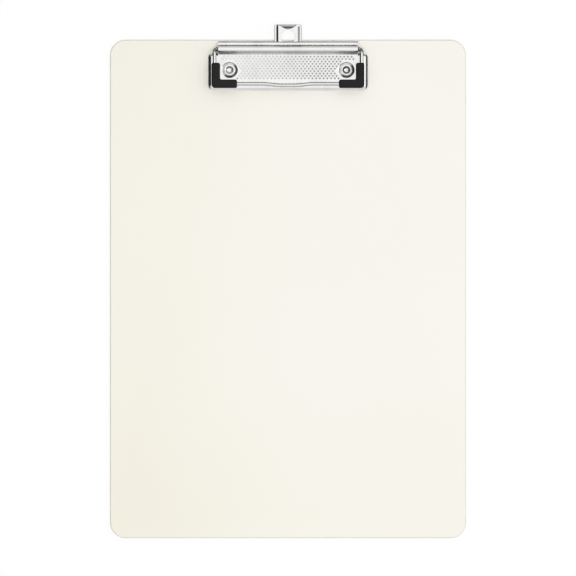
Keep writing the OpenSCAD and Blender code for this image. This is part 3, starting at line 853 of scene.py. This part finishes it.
def bail_route(sizes):
    """Centreline of the bail from its left stub, round the foot run, to its right stub."""
    leg_x = BAIL_HIGH.x - WIRE_R
    bail_z = (SLEEVE_LOW.z + SLEEVE_HIGH.z) / 2
    foot_y = BAIL_LOW.y + WIRE_R + sizes.bow_depth
    rise = bail_z - HINGE.z
    half = [
        ((sizes.stub_in, HINGE.y, HINGE.z), 0),
        ((leg_x, HINGE.y, HINGE.z), sizes.elbow),
        ((leg_x, HINGE.y - rise, bail_z), sizes.elbow),
        ((leg_x, foot_y, bail_z), sizes.corner),
        ((sizes.bow_out, foot_y, bail_z), sizes.bow),
        ((sizes.bow_in, foot_y - sizes.bow_depth, bail_z), sizes.bow),
    ]
    left = [(Vector((-x, y, z)), r) for (x, y, z), r in half]
    right = [(Vector(p), r) for p, r in reversed(half)]
    return rounded_route(*zip(*left, *right))


# ---- Corner sleeves ----

def make_sleeve(sizes):
    """L-shaped sleeve with rounded corners and edges."""
    bm = bmesh.new()
    size = SLEEVE_HIGH - SLEEVE_LOW
    arm, tip_r = sizes.arm, sizes.tip
    corner = (tip_r, QUARTER)
    end = [corner, (arm - 2 * tip_r,), corner]
    trace(
        bm, (SLEEVE_LOW.x + tip_r, SLEEVE_LOW.y, SLEEVE_LOW.z), X_AXIS,
        [(size.x - tip_r - sizes.outer,), (sizes.outer, QUARTER), (size.y - sizes.outer - tip_r,), *end,
         (size.y - arm - sizes.inner - tip_r,), (sizes.inner, -QUARTER), (size.x - arm - sizes.inner - tip_r,),
         *end], Z_AXIS,
    )
    weld(bm)
    sole = bmesh.ops.contextual_create(bm, geom=list(bm.edges))["faces"]
    top = bmesh.ops.extrude_face_region(bm, geom=sole, use_keep_orig=True)["geom"]
    bmesh.ops.translate(bm, verts=verts_of(top), vec=Z_AXIS * size.z)
    face_out(bm)
    round_rims(bm, sizes.edge)
    face_out(bm)
    return bm


# ---- Hanger ----

def make_hanger(sizes):
    """Mid-surface of the hanger: two side strips, a raised web with its hole, a curled lip and two shoulders."""
    bm = bmesh.new()
    strip_z = SEAT_Z + sizes.play + sizes.sheet / 2
    web_z = strip_z + sizes.lift
    bend_r = sizes.lift / 2 / (1 - cos(sizes.web_turn))
    web_x = TAB_HALF - sizes.strip - 2 * bend_r * sin(sizes.web_turn)
    foot_y, top_y = HANGER_LOW.y, HANGER_HIGH.y
    reach = sizes.lip_bend + sizes.sheet / 2
    root_y = top_y - reach
    corner_y, shoulder_y = top_y - sizes.corner, foot_y + sizes.foot
    runs = [sizes.foot, corner_y - shoulder_y, *(run for run, _ in arc(sizes.corner, 0, QUARTER, SMALL_STEPS))]
    for hand in (-1, 1):
        moves = [(sizes.strip,), (bend_r, sizes.web_turn), (bend_r, -sizes.web_turn)]
        _, edges = trace(bm, (hand * TAB_HALF, foot_y, strip_z), -X_AXIS * hand, moves, Y_AXIS * hand)
        for run in runs:
            edges = extend(bm, edges, lambda v: Y_AXIS * run)
        for v in bm.verts:
            rise = v.co.y - corner_y
            if abs(abs(v.co.x) - TAB_HALF) < TINY and rise > 0:
                inward = sizes.corner - sqrt(max(sizes.corner ** 2 - rise ** 2, 0))
                v.co.x -= copysign(inward, v.co.x)
        shoulder = [
            e for e in bm.edges
            if all(abs(v.co.x - hand * TAB_HALF) < TINY and v.co.y < shoulder_y + TINY for v in e.verts)
        ]
        extend(bm, shoulder, lambda v: X_AXIS * hand * (HANGER_HIGH.x - TAB_HALF))
    notch = [(web_x - sizes.lip_chord / 2,), (0, -QUARTER), (reach,), (0, QUARTER)]
    moves = [*notch, *[(sizes.lip_chord / LIP_COLUMNS,)] * LIP_COLUMNS, *reversed(notch)]
    trace(bm, (-web_x, top_y, web_z), X_AXIS, moves, Z_AXIS)
    trace(bm, (-web_x, foot_y, web_z), X_AXIS, [(2 * web_x,)], Z_AXIS)
    circle(bm, (0, HOLE_Y, web_z), HOLE_R, HOLE_STEPS)
    weld(bm)
    outline = [e for e in bm.edges if not e.link_faces]
    root = [e for e in outline if all(abs(v.co.y - root_y) < TINY for v in e.verts)]
    web_sides = [e for e in bm.edges if e.link_faces and all(abs(abs(v.co.x) - web_x) < TINY for v in e.verts)]
    fill_flat(bm, outline + web_sides)
    curl(bm, root, root_y, reach, web_z, sizes)
    face_up(bm)
    return bm


def curl(bm, edges, root_y, reach, web_z, sizes):
    """Curls the lip up and back from the edges of its root. Its free edge is an arc in plan."""
    depth, chord, bend = sizes.lip_depth, sizes.lip_chord, sizes.lip_bend
    bow = (chord * chord / 4 + depth * depth) / (2 * depth)
    lean = -cos(sizes.lip_turn)
    bend_end = reach - bend * sin(sizes.lip_turn)

    def run_at(x):
        wanted = depth - (bow - sqrt(bow * bow - x * x))
        if wanted > bend_end:
            return bend * sizes.lip_turn + (wanted - bend_end) / lean
        return bend * (pi - asin(min(1.0, (reach - wanted) / bend)))

    def place(x, run):
        angle = min(run / bend, sizes.lip_turn)
        rest = max(run - bend * sizes.lip_turn, 0)
        y = root_y + bend * sin(angle) + rest * cos(sizes.lip_turn)
        return Vector((x, y, web_z + bend * (1 - cos(angle)) + rest * sin(sizes.lip_turn)))

    for k in range(1, LIP_ROWS + 1):
        edges = extend(bm, edges, lambda v: place(v.co.x, run_at(v.co.x) * k / LIP_ROWS) - v.co)


# ---- Operators ----

class CLIPBOARD_OT_board(bpy.types.Operator):
    """Build the board"""
    bl_idname = "clipboard.board"
    bl_label = "Board"

    def execute(self, context):
        bm = make_board(context.scene.clipboard_board)
        material = finish("cream_plastic", board_finish)
        even_shading(put("board_moulding", bm, material, "base", "board_plastic", "board"))
        return {"FINISHED"}


class CLIPBOARD_OT_plate(bpy.types.Operator):
    """Build the knurled clip plate"""
    bl_idname = "clipboard.plate"
    bl_label = "Clip plate"

    def execute(self, context):
        sizes = context.scene.clipboard_plate
        material = finish("bright_nickel", nickel_finish)
        piece = put("knurled_plate", make_plate(sizes), material, "base", "plated_steel", "clip_plate", smooth_to=15)
        thicken(piece, sizes, offset=-1, segments=3)
        return {"FINISHED"}


class CLIPBOARD_OT_rivets(bpy.types.Operator):
    """Build the two tubular rivets"""
    bl_idname = "clipboard.rivets"
    bl_label = "Rivets"

    def execute(self, context):
        sizes, seat = context.scene.clipboard_rivet, SEAT_Z + context.scene.clipboard_plate.sheet
        material = finish("rolled_nickel", rivet_finish)
        put_pair("rivet", "rivet", lambda: make_rivet(sizes, seat), material, "base", "rivet_steel")
        return {"FINISHED"}


class CLIPBOARD_OT_wire(bpy.types.Operator):
    """Build the spring wire bail and finish the wire's two ends"""
    bl_idname = "clipboard.wire"
    bl_label = "Wire"

    def execute(self, context):
        bm = make_wire(bail_route(context.scene.clipboard_wire))
        put("spring_bail", bm, finish("drawn_wire", wire_finish), "bail", "spring_wire", "wire_bail", smooth_to=60)
        tang = finish("pressed_wire", tang_finish)
        for node in ("wire_end_left", "wire_end_right"):
            slots = frame["nodes"][node].data.materials
            slots.clear()
            slots.append(tang)
        return {"FINISHED"}


class CLIPBOARD_OT_sleeves(bpy.types.Operator):
    """Build the two corner sleeves"""
    bl_idname = "clipboard.sleeves"
    bl_label = "Corner sleeves"

    def execute(self, context):
        sizes = context.scene.clipboard_sleeve
        material = finish("black_soft_plastic", sleeve_finish)
        for piece in put_pair("sleeve", "corner_sleeve", lambda: make_sleeve(sizes), material, "bail", "sleeve_pvc"):
            even_shading(piece)
        return {"FINISHED"}


class CLIPBOARD_OT_hanger(bpy.types.Operator):
    """Build the slide-out hanger"""
    bl_idname = "clipboard.hanger"
    bl_label = "Hanger"

    def execute(self, context):
        sizes = context.scene.clipboard_hanger
        material = finish("tab_nickel", hanger_finish)
        piece = put("hanger_tab", make_hanger(sizes), material, "hanger", "hanger_steel", "hanger")
        thicken(piece, sizes, offset=0, segments=2)
        return {"FINISHED"}


class CLIPBOARD_OT_stage(bpy.types.Operator):
    """Set the floor, the light and the camera"""
    bl_idname = "clipboard.stage"
    bl_label = "Stage"

    def execute(self, context):
        sizes = context.scene.clipboard_stage
        make_floor(sizes)
        make_world(sizes)
        make_lamps()
        make_camera(sizes)
        context.scene.view_settings.view_transform = "Standard"
        return {"FINISHED"}


def make_floor(sizes):
    """Wide pale floor just under the board. The camera and the metal see it as white, with its shadow."""
    bm = bmesh.new()
    circle(bm, (0, 0, -sizes.floor_gap), sizes.floor_r, FLOOR_STEPS, cap_ends=True)

    def build(f):
        rays = f.add("LightPath").socket.node.outputs
        seen = sum(Signal(f, rays[name]) for name in ("Is Camera Ray", "Is Glossy Ray", "Is Transmission Ray"))
        seen = seen.math("MINIMUM", 1.0) * sizes.floor_white
        diffuse = f.add("BsdfDiffuse", {"Color": (0.96, 0.96, 0.96, 1)})
        glow = f.add("Emission", {"Color": (1, 1, 1, 1), "Strength": 1.0})
        f.add("OutputMaterial", {"Surface": f.add("MixShader", {0: seen, 1: diffuse, 2: glow})})

    floor = add_mesh("floor", bm, finish("pale_floor", build))


def make_world(sizes):
    """Soft light from above that falls off to the sides, as in a tent with darker ends."""
    world = bpy.data.worlds.new("studio")
    bpy.context.scene.world = world
    world.use_nodes = True
    f = Finish(world.node_tree)
    east, north, up = f.parts(f.add("TexCoord", output="Generated"))
    flat = distance(east, north)
    east, north = east / flat, north / flat
    level = f.ramp(up, 0.1, 0.45) * 0.4 + 0.5
    # A sector faces a side, starts and is full at two levels, and has a brightness by height.
    wedges = (
        (north * -1.0, 0.7, 0.9, f.ramp(up, 0.30, 0.15) * 0.16 + f.ramp(up, 0.5, 0.85) * 0.22 + 0.7),
        (north * 0.71 - east * 0.71, 0.6, 0.8, f.ramp(up, 0.25, 0.42) * 0.87 + 0.04),
        (north, 0.7, 0.9, f.ramp(up, 0.2, 0.42) * 0.87 + 0.08),
        (east, 0.7, 0.9, f.ramp(up, 0.0, 0.2) * 0.15 + 0.92),
        (east * -1.0, 0.83, 0.93, f.ramp(up, 0.78, 0.92) * 0.9 + 0.02),
        (east * -0.79 - north * 0.61, 0.86, 0.94, f.ramp(up, 0.5, 0.9) * 0.3 + f.ramp(up, 0.45, 0.35) * 0.3 + 0.5),
        (east * 0.79 - north * 0.61, 0.93, 0.975, f.ramp(up, 0.63, 0.88) * 0.85 + f.ramp(up, 0.45, 0.35) * 0.9 + 0.05),
    )
    for facing, low, high, value in wedges:
        level = level + f.ramp(facing, low, high) * (value - level)
    level = level + f.ramp(up, 0.82, 0.93) * (sizes.zenith - level)
    f.add("OutputWorld", {"Surface": f.add("Background", {"Color": (1, 1, 1, 1), "Strength": level})})


def make_lamps():
    """A soft key lamp from the right, and a wide fill from above that metal doesn't mirror."""
    for name, place, size, power, mirrored_in_metal in (
        ("key", (0.9, 0.0, 1.2), 0.6, 2.0, True),
        ("fill", (-0.3, -0.3, 1.8), 1.5, 7.4, False),
    ):
        data = bpy.data.lights.new(name, "AREA")
        data.shape, data.size, data.energy = "DISK", size, power
        lamp = add_object(name, data)
        lamp.location = place
        lamp.rotation_euler = (-Vector(place)).to_track_quat("-Z", "Y").to_euler()
        lamp.visible_camera = False
        lamp.visible_glossy = mirrored_in_metal


def make_camera(sizes):
    """Long lens straight above the board."""
    data = bpy.data.cameras.new("camera")
    data.lens = sizes.lens
    data.sensor_width = 36.0
    distance = sizes.view_w * data.lens / data.sensor_width
    camera = add_object("camera", data)
    camera.location = (0, sizes.aim_y, SEAT_Z + distance)
    data.clip_end = 100.0
    bpy.context.scene.camera = camera


class CLIPBOARD_PT_panel(bpy.types.Panel):
    """Lists the clipboard's operators"""
    bl_label = "Clipboard"
    bl_idname = "CLIPBOARD_PT_panel"
    bl_space_type = "VIEW_3D"
    bl_region_type = "UI"
    bl_category = "Clipboard"

    def draw(self, context):
        for operator in OPERATORS:
            self.layout.operator(operator.bl_idname)


GROUPS = {group.__name__.replace("CLIPBOARD_PG", "clipboard"): group for group in (
    CLIPBOARD_PG_board, CLIPBOARD_PG_plate, CLIPBOARD_PG_rivet, CLIPBOARD_PG_wire, CLIPBOARD_PG_sleeve,
    CLIPBOARD_PG_hanger, CLIPBOARD_PG_finish, CLIPBOARD_PG_stage,
)}
OPERATORS = (
    CLIPBOARD_OT_board, CLIPBOARD_OT_plate, CLIPBOARD_OT_rivets, CLIPBOARD_OT_wire, CLIPBOARD_OT_sleeves,
    CLIPBOARD_OT_hanger, CLIPBOARD_OT_stage,
)


def register():
    for cls in (*GROUPS.values(), *OPERATORS, CLIPBOARD_PT_panel):
        bpy.utils.register_class(cls)
    for name, group in GROUPS.items():
        setattr(bpy.types.Scene, name, bpy.props.PointerProperty(type=group))


def unregister():
    for name in GROUPS:
        delattr(bpy.types.Scene, name)
    for cls in (CLIPBOARD_PT_panel, *reversed(OPERATORS), *reversed(GROUPS.values())):
        bpy.utils.unregister_class(cls)


def main():
    """Builds the object and its stage."""
    register()
    for operator in OPERATORS:
        group, name = operator.bl_idname.split(".")
        getattr(getattr(bpy.ops, group), name)()


if __name__ == "__main__":
    main()
